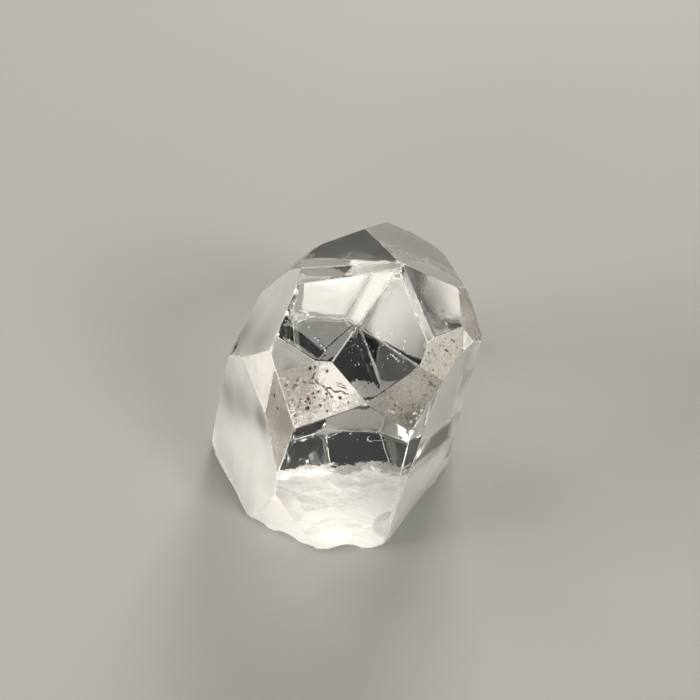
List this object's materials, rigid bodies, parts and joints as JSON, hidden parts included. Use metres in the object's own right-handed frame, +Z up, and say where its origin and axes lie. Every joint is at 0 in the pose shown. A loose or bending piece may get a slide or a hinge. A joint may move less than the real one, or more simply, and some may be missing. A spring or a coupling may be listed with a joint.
{
  "type": "phenakite crystal",
  "caption": "Loose clear crystal: a short stubby prism with a steep many-faced crown, standing on its uneven broken end.",
  "frame": {"origin": "middle of the crystal's box, at the level of the flat spots it stands on", "axes": "+Z up out of the surface it stands on; the broad front prism face and the etched facet look towards -Y; the crystal's long axis leans about 8 degrees from +Z towards +X"},
  "size_m": [0.0111, 0.0122, 0.0111],
  "materials": {
    "clear_phenakite": "clear colourless crystal with glassy crown faces, two frosted and one etched facet with a few brown iron specks, and a rough white broken end"
  },
  "bodies": {
    "root": {"phenakite_crystal": "clear_phenakite"}
  },
  "joints": []
}
